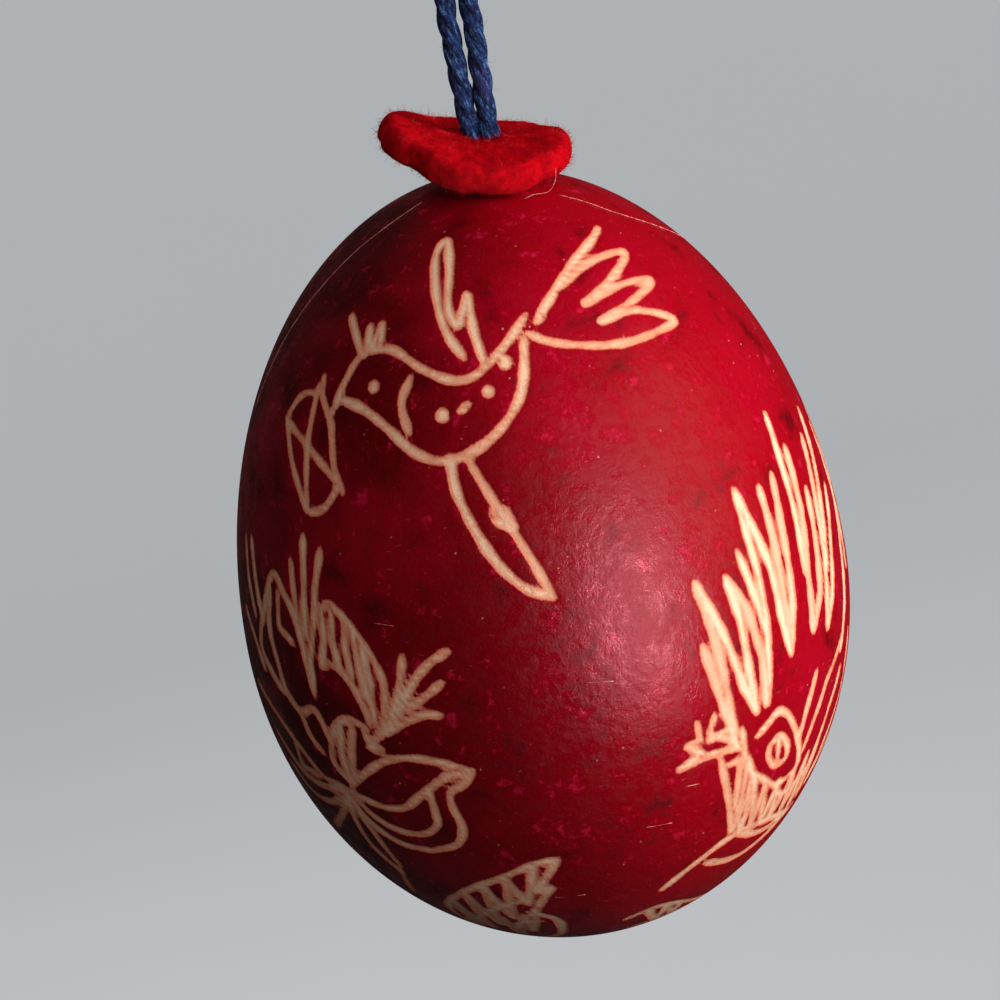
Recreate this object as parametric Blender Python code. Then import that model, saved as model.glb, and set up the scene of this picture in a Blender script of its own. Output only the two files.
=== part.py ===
"""A blown hen's egg that hangs on a doubled cord, with a felt washer on its crown.

Units are metres and +Z is up. The origin is the inner top of the hanging loop, where a twig or
a hook bears on it. The loop lies in the XZ plane. Its two legs go down through the felt washer
and the top blow hole to a wooden toggle that lies across inside the shell and carries the egg.
The narrow end of the egg is up.
"""

import math

import bmesh
import bpy
from mathutils import Matrix, Vector

# Eggshell: two half ellipses that meet at the widest ring.
EGG_RADIUS = 0.0220
NARROW_END_LENGTH = 0.0312
BLUNT_END_LENGTH = 0.0255
SHELL_WALL = 0.0004
TOP_HOLE_RADIUS = 0.0021
TOP_HOLE_FADE_DEGREES = 50.0
BOTTOM_HOLE_RADIUS = 0.0012
SHELL_SEGMENTS = 56
SHELL_RINGS = 22

# Membrane: the dried lining, a clearance inside the shell.
MEMBRANE_WALL = 0.00015
MEMBRANE_SEGMENTS = 32

# Where the egg hangs under the loop. The top blow hole is beside the egg's own axis, with the cord.
EGG_TOP_Z = -0.0500
EGG_AXIS_X = -0.0012

# Touching pieces keep this gap.
CLEARANCE = 0.0003

# Cord: a doubled cord whose legs run side by side.
CORD_RADIUS = 0.0007
LEG_SPACING = 0.0017
LOOP_BEND_RADIUS = 0.0033
LEG_POINT_STEP = 0.0030
BEND_POINT_STEP = 0.0010
CROWN_HALF_LENGTH = 0.0085
CORD_BEVEL_RESOLUTION = 2
SPLINE_STEPS = 16

# Toggle stick, along X, and the cord's turns round it.
TOGGLE_RADIUS = 0.0010
TOGGLE_LENGTH = 0.0140
TOGGLE_DEPTH = 0.0051
TOGGLE_SEGMENTS = 20
TOGGLE_END_BEVEL = 0.0002
KNOT_WIDTH = 0.0030
KNOT_SEGMENTS = 24
KNOT_CORNER_STEPS = 4

# Felt washer: a disc on the crown. Its left side is higher, both sides curl up and its front hangs down.
FELT_RADIUS = 0.0067
FELT_THICKNESS = 0.0022
FELT_CENTRE_X = -0.0005
FELT_HOLE_RADIUS = 0.0019
FELT_HEIGHT = 0.00170
FELT_TILT = -0.21
FELT_CURL_LEFT = 32.0
FELT_CURL_RIGHT = 12.0
FELT_HANG = 16.0
FELT_SEGMENTS = 40
FELT_EDGE_STEPS = 3
FELT_FLAT_RINGS = 3

TOGGLE_Z = EGG_TOP_Z - TOGGLE_DEPTH
EGG_WIDEST_Z = EGG_TOP_Z - NARROW_END_LENGTH
KNOT_INNER_RADIUS = TOGGLE_RADIUS + CLEARANCE
KNOT_OUTER_RADIUS = KNOT_INNER_RADIUS + 2 * CORD_RADIUS
LEG_END_Z = TOGGLE_Z + KNOT_OUTER_RADIUS + CLEARANCE


def clear_scene():
    for item in list(bpy.data.objects):
        bpy.data.objects.remove(item, do_unlink=True)


def make_material(name, colour, roughness):
    material = bpy.data.materials.new(name)
    material.use_nodes = True
    shader = material.node_tree.nodes["Principled BSDF"]
    shader.inputs["Base Color"].default_value = (*colour, 1.0)
    shader.inputs["Roughness"].default_value = roughness
    shader.inputs["Metallic"].default_value = 0.0
    return material


def make_pivot(name, location, parent=None):
    """An empty on a joint's axis, which the moving pieces hang from."""
    pivot = bpy.data.objects.new(name, None)
    pivot.location = Vector(location) - (world_place(parent) if parent else Vector())
    pivot.parent = parent
    bpy.context.scene.collection.objects.link(pivot)
    return pivot


def world_place(item):
    """Where a pivot is, from its own and its parents' locations. No pivot is turned or scaled."""
    place = Vector(item.location)
    while item.parent:
        item = item.parent
        place += Vector(item.location)
    return place


def add_object(name, data, material, location, parent=None):
    item = bpy.data.objects.new(name, data)
    item.location = Vector(location) - (world_place(parent) if parent else Vector())
    item.parent = parent
    data.materials.append(material)
    bpy.context.scene.collection.objects.link(item)
    return item


def mesh_of_rings(name, rings):
    """A closed ring-shaped skin: every ring is a loop of points, and the last ring meets the first."""
    build = bmesh.new()
    loops = [[build.verts.new(point) for point in ring] for ring in rings]
    for here, after in zip(loops, loops[1:] + loops[:1]):
        count = len(here)
        for k in range(count):
            build.faces.new((here[k], here[(k + 1) % count], after[(k + 1) % count], after[k]))
    bmesh.ops.recalc_face_normals(build, faces=build.faces[:])
    bmesh.ops.triangulate(build, faces=build.faces[:])
    mesh = bpy.data.meshes.new(name)
    build.to_mesh(mesh)
    build.free()
    return mesh


def shade_round(mesh, sharp_degrees=40.0):
    mesh.shade_smooth()
    mesh.set_sharp_from_angle(angle=math.radians(sharp_degrees))


def turned_rings(profile, segments):
    """Turns a closed profile of (radius, height) points round Z."""
    angles = [2 * math.pi * k / segments for k in range(segments)]
    return [[(r * math.cos(a), r * math.sin(a), z) for a in angles] for r, z in profile]


def point_on_egg(x, y, upper, inset):
    """The point over or under (x, y) from the egg's axis, a distance inside the egg's skin."""
    length = NARROW_END_LENGTH if upper else -BLUNT_END_LENGTH
    z = length * math.sqrt(max(0.0, 1 - (x * x + y * y) / EGG_RADIUS**2))
    normal = Vector((x / EGG_RADIUS**2, y / EGG_RADIUS**2, z / length**2)).normalized()
    return Vector((x, y, z)) - inset * normal


def egg_rings(inset, segments):
    """Rings from hole to hole. The upper ones are centred on the top hole, the others on the egg's axis."""
    start = math.asin(TOP_HOLE_RADIUS / EGG_RADIUS)
    end = math.pi - math.asin(BOTTOM_HOLE_RADIUS / EGG_RADIUS)
    fade = math.radians(TOP_HOLE_FADE_DEGREES)
    rings = []
    for k in range(SHELL_RINGS):
        polar = start + (end - start) * k / (SHELL_RINGS - 1)
        radius = EGG_RADIUS * math.sin(polar)
        shift = -EGG_AXIS_X * max(0.0, (fade - polar) / (fade - start))
        ring = []
        for n in range(segments):
            angle = 2 * math.pi * n / segments
            x = shift + radius * math.cos(angle)
            ring.append(point_on_egg(x, radius * math.sin(angle), polar < math.pi / 2, inset))
        rings.append(ring)
    return rings


def egg_layer(name, outer_inset, wall, segments, material, parent):
    """One layer of the egg: open at both blow holes, with an even wall."""
    outer = egg_rings(outer_inset, segments)
    inner = egg_rings(outer_inset + wall, segments)
    mesh = mesh_of_rings(name, outer + inner[::-1])
    mesh.transform(Matrix.Translation((EGG_AXIS_X, 0, 0)))
    shade_round(mesh)
    return add_object(name, mesh, material, (0, 0, EGG_WIDEST_Z), parent)


def felt_skin_section():
    """The washer's cross-section as (0 at the hole to 1 at the rim, -1 underneath to 1 on top)."""
    flat = [0.9 * k / FELT_FLAT_RINGS for k in range(FELT_FLAT_RINGS + 1)]
    rim = []
    for k in range(1, 2 * FELT_EDGE_STEPS):
        angle = -math.pi / 2 + math.pi * k / (2 * FELT_EDGE_STEPS)
        rim.append((0.9 + 0.1 * math.cos(angle), math.sin(angle)))
    return [(f, -1) for f in flat] + rim + [(f, 1) for f in reversed(flat)]


def felt_skin_point(x, y, across, side):
    """A point of the bent felt. Its thickness stands upright at the hole, and square to the sheet at the rim."""
    curl = FELT_CURL_LEFT if x < 0 else FELT_CURL_RIGHT
    hang = FELT_HANG if y < 0 else 0.0
    height = FELT_TILT * x + curl * x * x - hang * y * y
    slope_x = FELT_TILT + 2 * curl * x
    slope_y = -2 * hang * y
    normal = Vector((-across * slope_x, -across * slope_y, 1.0)).normalized()
    return Vector((x, y, height)) + side * FELT_THICKNESS / 2 * normal


def make_felt(material, parent):
    """The felt is a tilted disc with both sides curled up, and its front half bent down."""
    angles = [2 * math.pi * k / FELT_SEGMENTS for k in range(FELT_SEGMENTS)]
    rings = []
    for across, side in felt_skin_section():
        radius = FELT_HOLE_RADIUS + across * (FELT_RADIUS - FELT_HOLE_RADIUS)
        centre = across * FELT_CENTRE_X
        places = [(centre + radius * math.cos(a), radius * math.sin(a)) for a in angles]
        rings.append([felt_skin_point(x, y, across, side) for x, y in places])
    mesh = mesh_of_rings("felt_washer", rings)
    shade_round(mesh, 60.0)
    return add_object("felt_washer", mesh, material, (0, 0, EGG_TOP_Z + FELT_HEIGHT), parent)


def loop_route():
    """Half of the cord's route, chosen by hand: from the top of the bend down the right leg, as (x, z)."""
    centre_z = CORD_RADIUS - LOOP_BEND_RADIUS
    bend = [math.radians(a) for a in (90, 67.5, 45, 22.5, 0)]
    points = [(LOOP_BEND_RADIUS * math.cos(a), centre_z + LOOP_BEND_RADIUS * math.sin(a)) for a in bend]
    leg_x = LEG_SPACING / 2
    points += [
        (0.00320, -0.0060),
        (0.00275, -0.0105),
        (0.00205, -0.0155),
        (0.00140, -0.0205),
        (0.00098, -0.0255),
        (leg_x, -0.0305),
        (leg_x, -0.0365),
        (leg_x, -0.0430),
        (leg_x, LEG_END_Z),
    ]
    return [Vector((x, 0, z)) for x, z in points]


def smooth_curve(points):
    """A Catmull-Rom curve through the points."""
    mirror_before = Vector((-points[1].x, 0, points[1].z))
    padded = [mirror_before] + points + [points[-1] * 2 - points[-2]]
    curve = []
    for a, b, c, d in zip(padded, padded[1:], padded[2:], padded[3:]):
        for k in range(SPLINE_STEPS):
            t = k / SPLINE_STEPS
            square = (2 * a - 5 * b + 4 * c - d) * t**2
            cube = (3 * b - a - 3 * c + d) * t**3
            curve.append(0.5 * (2 * b + (c - a) * t + square + cube))
    return curve + [points[-1]]


def stretch(curve, start, end, step):
    """Evenly spaced points on a curve, between two distances along it. No end means the curve's own end."""
    along = [0.0]
    for here, after in zip(curve, curve[1:]):
        along.append(along[-1] + (after - here).length)
    end = along[-1] if end is None else end
    count = max(2, round((end - start) / step) + 1)
    points = []
    for k in range(count):
        wanted = start + (end - start) * k / (count - 1)
        n = max(i for i, done in enumerate(along[:-1]) if done <= wanted)
        share = (wanted - along[n]) / (along[n + 1] - along[n])
        points.append(curve[n].lerp(curve[n + 1], share))
    return points


def make_tube(name, points, material, pivot_place, parent=None):
    """A round cord along a poly line, with filled ends."""
    curve = bpy.data.curves.new(name, "CURVE")
    curve.dimensions = "3D"
    curve.bevel_depth = CORD_RADIUS
    curve.bevel_resolution = CORD_BEVEL_RESOLUTION
    curve.use_fill_caps = True
    spline = curve.splines.new("POLY")
    spline.points.add(len(points) - 1)
    for knot, point in zip(spline.points, points):
        knot.co = (*(point - Vector(pivot_place)), 1.0)
    return add_object(name, curve, material, pivot_place, parent)


def make_cord(material, swing):
    half = smooth_curve(loop_route())
    right_crown = stretch(half, 0.0, CROWN_HALF_LENGTH, BEND_POINT_STEP)
    left_crown = [Vector((-p.x, p.y, p.z)) for p in reversed(right_crown[1:])]
    make_tube("cord_loop_crown", left_crown + right_crown, material, (0, 0, 0))
    right_leg = stretch(half, CROWN_HALF_LENGTH + CLEARANCE, None, LEG_POINT_STEP)
    left_leg = [Vector((-p.x, p.y, p.z)) for p in right_leg]
    make_tube("cord_leg_right", right_leg, material, (0, 0, 0), swing)
    make_tube("cord_leg_left", left_leg, material, (0, 0, 0), swing)


def make_knot(material, swing):
    """The cord's turns round the toggle, as one round-edged band whose axis is X."""
    half_width = KNOT_WIDTH / 2
    corner = CORD_RADIUS * 0.95
    low, high = KNOT_INNER_RADIUS, KNOT_OUTER_RADIUS
    corners = [
        (high - corner, half_width - corner, 0),
        (high - corner, corner - half_width, -90),
        (low + corner, corner - half_width, 180),
        (low + corner, half_width - corner, 90),
    ]
    section = []
    for radius, offset, start in corners:
        for k in range(KNOT_CORNER_STEPS + 1):
            angle = math.radians(start + 90 - 90 * k / KNOT_CORNER_STEPS)
            section.append((radius + corner * math.cos(angle), offset + corner * math.sin(angle)))
    mesh = mesh_of_rings("cord_knot", turned_rings(section, KNOT_SEGMENTS))
    shade_round(mesh)
    knot = add_object("cord_knot", mesh, material, (0, 0, TOGGLE_Z), swing)
    knot.rotation_euler = (0, math.pi / 2, 0)
    return knot


def make_toggle(material, rock):
    build = bmesh.new()
    bmesh.ops.create_cone(
        build,
        cap_ends=True,
        segments=TOGGLE_SEGMENTS,
        radius1=TOGGLE_RADIUS,
        radius2=TOGGLE_RADIUS,
        depth=TOGGLE_LENGTH,
    )
    mesh = bpy.data.meshes.new("toggle_stick")
    build.to_mesh(mesh)
    build.free()
    shade_round(mesh)
    toggle = add_object("toggle_stick", mesh, material, (0, 0, TOGGLE_Z), rock)
    toggle.rotation_euler = (0, math.pi / 2, 0)
    rounding = toggle.modifiers.new("rounded_ends", "BEVEL")
    rounding.width = TOGGLE_END_BEVEL
    rounding.segments = 2
    rounding.limit_method = "ANGLE"
    rounding.angle_limit = math.radians(60)
    return toggle


def main():
    clear_scene()
    shell_dye = make_material("shell_dye", (0.22, 0.004, 0.02), 0.45)
    membrane_skin = make_material("membrane_skin", (0.80, 0.74, 0.66), 0.60)
    red_felt = make_material("red_felt", (0.45, 0.008, 0.012), 0.95)
    blue_cotton = make_material("blue_cotton", (0.012, 0.030, 0.11), 0.85)
    bare_wood = make_material("bare_wood", (0.58, 0.40, 0.22), 0.70)

    swing = make_pivot("swing_pivot", (0, 0, 0))
    felt_guide = make_pivot("felt_guide", (0, 0, EGG_TOP_Z), swing)
    rock = make_pivot("rock_pivot", (0, 0, TOGGLE_Z), swing)
    turn = make_pivot("turn_pivot", (0, 0, TOGGLE_Z), rock)

    egg_layer("eggshell", 0.0, SHELL_WALL, SHELL_SEGMENTS, shell_dye, turn)
    egg_layer("shell_membrane", SHELL_WALL + CLEARANCE, MEMBRANE_WALL, MEMBRANE_SEGMENTS, membrane_skin, turn)
    make_felt(red_felt, felt_guide)
    make_toggle(bare_wood, rock)
    make_cord(blue_cotton, swing)
    make_knot(blue_cotton, swing)


main()
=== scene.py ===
"""Looks for the scratch-carved hen's egg that hangs on a doubled cord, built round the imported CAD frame.

Lengths are metres unless a name ends in _MM. The drawing on the shell is written as (azimuth in degrees,
height in mm over the blunt end): azimuth 0 faces the viewer along +Y, and grows to the right.
"""

import math
import random

import bpy
import numpy as np
from mathutils import Matrix, Vector, noise
from mathutils.kdtree import KDTree


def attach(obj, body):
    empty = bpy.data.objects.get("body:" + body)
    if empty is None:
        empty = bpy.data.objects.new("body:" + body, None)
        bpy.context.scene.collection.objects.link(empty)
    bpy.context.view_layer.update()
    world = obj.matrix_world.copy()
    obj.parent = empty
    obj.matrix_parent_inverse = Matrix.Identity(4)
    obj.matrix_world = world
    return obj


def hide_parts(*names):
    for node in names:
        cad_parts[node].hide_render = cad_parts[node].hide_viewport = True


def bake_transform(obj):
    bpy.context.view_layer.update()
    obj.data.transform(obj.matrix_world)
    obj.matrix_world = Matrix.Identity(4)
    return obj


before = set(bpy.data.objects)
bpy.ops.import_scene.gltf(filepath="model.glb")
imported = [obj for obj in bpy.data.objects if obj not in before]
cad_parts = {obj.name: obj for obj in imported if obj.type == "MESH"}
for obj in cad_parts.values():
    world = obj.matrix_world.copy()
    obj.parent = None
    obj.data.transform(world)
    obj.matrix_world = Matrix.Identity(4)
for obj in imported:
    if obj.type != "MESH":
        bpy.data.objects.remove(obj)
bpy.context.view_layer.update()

MM = 0.001
SEED = 7

# The egg, as in the CAD part.
EGG_RADIUS = 0.0220
NARROW_END_LENGTH = 0.0312
BLUNT_END_LENGTH = 0.0255
SHELL_WALL = 0.0004
TOP_HOLE_RADIUS = 0.0021
BOTTOM_HOLE_RADIUS = 0.0012
EGG_TOP_Z = -0.0500
EGG_AXIS_X = -0.0012
EGG_WIDEST_Z = EGG_TOP_Z - NARROW_END_LENGTH
EGG_BOTTOM_Z = EGG_WIDEST_Z - BLUNT_END_LENGTH

# Shell mesh and drawing.
SHELL_COLUMNS = 440
SHELL_ROWS = 208
INNER_ROWS = 10
HOLE_FADE = math.radians(50)
LINE_HALF_WIDTH_MM = 0.365
LINE_SAMPLE_MM = 0.08
HAIRLINE_RADIUS = 0.00003
LINE_REACH_MM = 1.6
GROOVE_DEPTH = 0.00005

# Cord, as in the CAD part.
CORD_RADIUS = 0.0007
CORD_TWIST = 0.0064
PLY_SHARE = 0.69  # one ply's radius, as a share of the cord's
PLY_OFFSET_SHARE = 0.39  # how far a ply's middle is from the cord's, as a share of the cord's radius
STRAND_DEPTH = 0.08  # how far the strands stand out, as a share of the ply's radius
CORD_FIBRES = 700
CORD_FIBRE_RADIUS = 0.000008
LEG_SPACING = 0.0017
LOOP_BEND_RADIUS = 0.0033
TOGGLE_Z = EGG_TOP_Z - 0.0051
KNOT_INNER_RADIUS = 0.0013
LEG_END_Z = TOGGLE_Z + KNOT_INNER_RADIUS + 2 * CORD_RADIUS + 0.0003

# Felt washer, as in the CAD part, except that it lies 0.05 mm lower and its front edge hangs further down.
FELT_RADIUS = 0.0067
FELT_THICKNESS = 0.0022
FELT_CENTRE_X = -0.0005
FELT_HOLE_RADIUS = 0.0019
FELT_Z = EGG_TOP_Z + 0.00165
FELT_TILT = -0.21
FELT_CURL_LEFT = 32.0
FELT_CURL_RIGHT = 12.0
FELT_HANG = 27.0
FELT_HOLE_SHARE = 0.72  # the hole grips the cord, so it is smaller than the CAD part's
FELT_CUT_SHARE = 0.97  # the hand-cut outline is a little inside the CAD part's
FELT_FIBRES = 7500
FELT_FIBRE_RADIUS = 0.000013
LEG_PINCH = 0.22  # how far the hole squeezes the cord's two legs together

# The loose fibre's route, in mm.
LOOSE_HAIR_MM = (
    (4.8, -4.1, -49.7),
    (4.6, -4.8, -50.4),
    (4.0, -5.5, -51.0),
    (2.9, -5.9, -50.95),
    (2.2, -6.3, -51.05),
)
LOOSE_HAIR_RADIUS = 0.000015

# Camera.
CAMERA_DISTANCE = 0.42
CAMERA_ELEVATION = math.radians(14.5)
CAMERA_ROLL = math.radians(10.25)
VIEW_WIDTH = 0.0726
VIEW_OFFSET_X = -0.00325
VIEW_RISE = 0.0071


# ---------------------------------------------------------------- helpers


def add_mesh(name, points, faces, material):
    mesh = bpy.data.meshes.new(name)
    mesh.from_pydata([tuple(p) for p in points], [], faces)
    mesh.materials.append(material)
    mesh.shade_smooth()
    item = bpy.data.objects.new(name, mesh)
    bpy.context.scene.collection.objects.link(item)
    return item


def set_attribute(item, name, values):
    """One number for each vertex, which the material reads."""
    attribute = item.data.attributes.new(name, "FLOAT", "POINT")
    attribute.data.foreach_set("value", np.asarray(values, np.float32))


def smooth_curve(points, steps):
    """A Catmull-Rom curve through points given as vectors."""
    padded = [points[0] * 2 - points[1]] + list(points) + [points[-1] * 2 - points[-2]]
    curve = []
    for a, b, c, d in zip(padded, padded[1:], padded[2:], padded[3:]):
        for k in range(steps):
            t = k / steps
            square = (2 * a - 5 * b + 4 * c - d) * t**2
            cube = (3 * b - a - 3 * c + d) * t**3
            curve.append(0.5 * (2 * b + (c - a) * t + square + cube))
    return curve + [points[-1]]


def evenly(points, step):
    """The same line with points a step apart."""
    along = [0.0]
    for here, after in zip(points, points[1:]):
        along.append(along[-1] + (after - here).length)
    count = max(2, round(along[-1] / step) + 1)
    spaced, n = [], 0
    for k in range(count):
        wanted = along[-1] * k / (count - 1)
        while n < len(points) - 2 and along[n + 1] < wanted:
            n += 1
        gap = along[n + 1] - along[n]
        share = (wanted - along[n]) / gap if gap > 0 else 0.0
        spaced.append(points[n].lerp(points[n + 1], min(1.0, share)))
    return spaced


class Shade:
    """A Principled material, with short ways to add and join its nodes."""

    def __init__(self, name, roughness=0.5, **sockets):
        self.material = bpy.data.materials.new(name)
        self.material.use_nodes = True
        self.nodes = self.material.node_tree.nodes
        self.links = self.material.node_tree.links
        self.shader = self.nodes["Principled BSDF"]
        self.shader.inputs["Roughness"].default_value = roughness
        for socket, value in sockets.items():
            self.shader.inputs[socket.replace("_", " ")].default_value = value

    def put(self, socket, value):
        if hasattr(value, "is_output"):
            self.links.new(value, socket)
        else:
            socket.default_value = value

    def add(self, kind, inputs=(), output=0, **settings):
        node = self.nodes.new("ShaderNode" + kind)
        for name, value in settings.items():
            setattr(node, name, value)
        for key, value in dict(inputs).items():
            self.put(node.inputs[key], value)
        return node.outputs[output]

    def math(self, operation, a, b):
        return self.add("Math", {0: a, 1: b}, operation=operation)

    def spread(self, value, low, high, start=0.0, end=1.0):
        inputs = {"Value": value, "From Min": low, "From Max": high, "To Min": start, "To Max": end}
        return self.add("MapRange", inputs, interpolation_type="SMOOTHSTEP")

    def place(self, stretch=(1, 1, 1)):
        """The piece's own coordinates, in mm."""
        where = self.add("TexCoord", output="Object")
        scale = tuple(s / MM for s in stretch)
        return self.add("Mapping", {"Vector": where, "Scale": scale})

    def noise(self, scale, vector, detail=2.0, roughness=0.5, distortion=0.0):
        inputs = {"Vector": vector, "Scale": scale, "Detail": detail}
        inputs |= {"Roughness": roughness, "Distortion": distortion}
        return self.add("TexNoise", inputs, output="Fac")

    def number(self, attribute):
        return self.add("Attribute", output="Fac", attribute_name=attribute)

    def mix(self, factor, a, b):
        node = self.nodes.new("ShaderNodeMix")
        node.data_type = "RGBA"
        self.put(node.inputs["Factor"], factor)
        self.put(node.inputs[6], a)
        self.put(node.inputs[7], b)
        return node.outputs[2]

    def bump(self, height, distance, strength=1.0, normal=None):
        inputs = {"Height": height, "Distance": distance, "Strength": strength}
        if normal is not None:
            inputs["Normal"] = normal
        return self.add("Bump", inputs)

    def finish(self, colour, roughness=None, normal=None):
        self.put(self.shader.inputs["Base Color"], colour)
        if roughness is not None:
            self.put(self.shader.inputs["Roughness"], roughness)
        if normal is not None:
            self.put(self.shader.inputs["Normal"], normal)
        return self.material


def rgb(red, green, blue):
    return (red, green, blue, 1.0)


# ---------------------------------------------------------------- camera, light and stage


def make_camera():
    up = Vector((0, math.sin(CAMERA_ELEVATION), math.cos(CAMERA_ELEVATION)))
    forward = Vector((0, math.cos(CAMERA_ELEVATION), -math.sin(CAMERA_ELEVATION)))
    right = Vector((1, 0, 0))
    target = Vector((VIEW_OFFSET_X, 0, EGG_WIDEST_Z)) + VIEW_RISE * up
    image_up = math.cos(CAMERA_ROLL) * up + math.sin(CAMERA_ROLL) * right
    image_right = math.cos(CAMERA_ROLL) * right - math.sin(CAMERA_ROLL) * up
    turned = Matrix((image_right, image_up, -forward)).transposed()
    data = bpy.data.cameras.new("camera")
    data.sensor_width = 36.0
    data.lens = 36.0 * CAMERA_DISTANCE / VIEW_WIDTH
    data.clip_start = 0.01
    camera = bpy.data.objects.new("camera", data)
    camera.matrix_world = Matrix.Translation(target - CAMERA_DISTANCE * forward) @ turned.to_4x4()
    bpy.context.scene.collection.objects.link(camera)
    bpy.context.scene.camera = camera


def area_light(name, azimuth, elevation, distance, size, power, colour):
    """A soft box aimed at the egg, hidden from reflections. Azimuth is in degrees to the viewer's right."""
    a, e = math.radians(azimuth), math.radians(elevation)
    away = Vector((math.sin(a) * math.cos(e), -math.cos(a) * math.cos(e), math.sin(e)))
    data = bpy.data.lights.new(name, "AREA")
    data.shape = "RECTANGLE"
    data.size, data.size_y = size
    data.energy = power
    data.color = colour
    lamp = bpy.data.objects.new(name, data)
    lamp.location = Vector((EGG_AXIS_X, 0, EGG_WIDEST_Z)) + distance * away
    lamp.rotation_euler = away.to_track_quat("Z", "Y").to_euler()
    lamp.visible_glossy = False
    lamp.visible_camera = False
    bpy.context.scene.collection.objects.link(lamp)
    return lamp


def make_lights():
    """Three soft boxes, and a narrow window that only shows as the shell's highlight."""
    window = area_light("window_light", 32, -8, 0.55, (0.07, 0.25), 4.4, (1.0, 0.52, 0.62))
    window.visible_glossy = True
    window.visible_diffuse = False
    area_light("side_light", 66, 12, 0.30, (0.18, 0.24), 1.38, (1.0, 0.91, 0.82))
    area_light("front_light", 14, 22, 0.70, (0.40, 0.40), 2.2, (1.0, 0.86, 0.78))
    area_light("back_light", 200, 25, 0.60, (0.50, 0.50), 1.6, (1.0, 0.94, 0.90))
    world = bpy.data.worlds.new("studio")
    world.use_nodes = True
    world.node_tree.nodes["Background"].inputs["Color"].default_value = rgb(1.0, 0.82, 0.78)
    world.node_tree.nodes["Background"].inputs["Strength"].default_value = 0.03
    bpy.context.scene.world = world
    bpy.context.scene.view_settings.view_transform = "Standard"


PAPER_GLOW = 0.60  # keeps the paper pale in views where the lamps don't reach it


def make_stage():
    """A round pale floor that curves up into a wall on every side."""
    floor_z, wall_radius, bend, wall_height, sides = -0.30, 1.2, 0.4, 2.5, 96
    profile = [(0.001, floor_z), (wall_radius - bend, floor_z)]
    for k in range(1, 9):
        a = math.radians(90 * k / 8)
        profile.append((wall_radius - bend + bend * math.sin(a), floor_z + bend - bend * math.cos(a)))
    profile.append((wall_radius, floor_z + wall_height))
    turns = [2 * math.pi * n / sides for n in range(sides)]
    points = [(r * math.cos(a), r * math.sin(a), z) for r, z in profile for a in turns]
    faces = [tuple(range(sides))]
    for k in range(len(profile) - 1):
        for n in range(sides):
            here, after = k * sides + n, k * sides + (n + 1) % sides
            faces.append((here, after, after + sides, here + sides))
    shade = Shade("pale_paper", 0.9, Specular_IOR_Level=0.0)
    tone = shade.noise(0.02, shade.place(), detail=3)
    paper = shade.finish(shade.mix(tone, rgb(0.24, 0.25, 0.26), rgb(0.27, 0.28, 0.29)))
    glow = paper.node_tree.nodes["Principled BSDF"].inputs
    glow["Emission Color"].default_value = rgb(0.66, 0.69, 0.72)
    glow["Emission Strength"].default_value = PAPER_GLOW
    stage = add_mesh("stage", points, faces, paper)
    stage.visible_glossy = False
    stage.visible_diffuse = False


# ---------------------------------------------------------------- cord


def cord_route():
    """The loop's route as in the CAD part. The list is its right half from the top down, as (x, z)."""
    centre_z = CORD_RADIUS - LOOP_BEND_RADIUS
    bend = [math.radians(a) for a in (90, 67.5, 45, 22.5, 0)]
    points = [(LOOP_BEND_RADIUS * math.cos(a), centre_z + LOOP_BEND_RADIUS * math.sin(a)) for a in bend]
    leg_x = LEG_SPACING / 2
    points += [
        (0.00320, -0.0060),
        (0.00275, -0.0105),
        (0.00205, -0.0155),
        (0.00140, -0.0205),
        (0.00098, -0.0255),
        (leg_x, -0.0305),
        (leg_x, -0.0365),
        (leg_x, -0.0430),
        (leg_x, LEG_END_Z),
    ]
    half = [Vector((x, 0, z)) for x, z in points]
    whole = [Vector((-p.x, 0, p.z)) for p in reversed(half[1:])] + half
    return smooth_curve(whole, 16)


def pinch(point):
    """The felt's hole squeezes the two legs together."""
    near = max(0.0, 1 - abs(point.z - FELT_Z) / 0.010)
    return Vector((point.x * (1 - LEG_PINCH * near * near * (3 - 2 * near)), point.y, point.z))


def twisted_tube(path, radius, pitch, reference, plies=3, sides=16, strands=5):
    """A cord of twisted plies. Returns points, faces and two numbers per point for the material."""
    ply_radius = radius * PLY_SHARE
    centre_radius = radius * PLY_OFFSET_SHARE
    points, faces, around, along = [], [], [], []
    count = len(path)
    length = 0.0
    rings = []
    for k, here in enumerate(path):
        if k:
            length += (here - path[k - 1]).length
        tangent = (path[min(k + 1, count - 1)] - path[max(k - 1, 0)]).normalized()
        side = (reference - tangent * reference.dot(tangent)).normalized()
        rings.append((here, side, tangent.cross(side), length))
    for ply in range(plies):
        base = len(points)
        for here, side, other, length in rings:
            turn = 2 * math.pi * (ply / plies - length / pitch)
            centre = here + centre_radius * (math.cos(turn) * side + math.sin(turn) * other)
            for n in range(sides):
                a = 2 * math.pi * n / sides
                lobe = a * strands + 2 * math.pi * length / (0.55 * pitch)
                r = ply_radius * (1 + STRAND_DEPTH * math.cos(lobe))
                points.append(centre + r * (math.cos(a) * side + math.sin(a) * other))
                around.append(a / (2 * math.pi))
                along.append(length / MM)
        for k in range(count - 1):
            for n in range(sides):
                a, b = base + k * sides + n, base + k * sides + (n + 1) % sides
                faces.append((a, b, b + sides, a + sides))
        faces.append(tuple(base + n for n in reversed(range(sides))))
        faces.append(tuple(base + (count - 1) * sides + n for n in range(sides)))
    return points, faces, around, along


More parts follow.
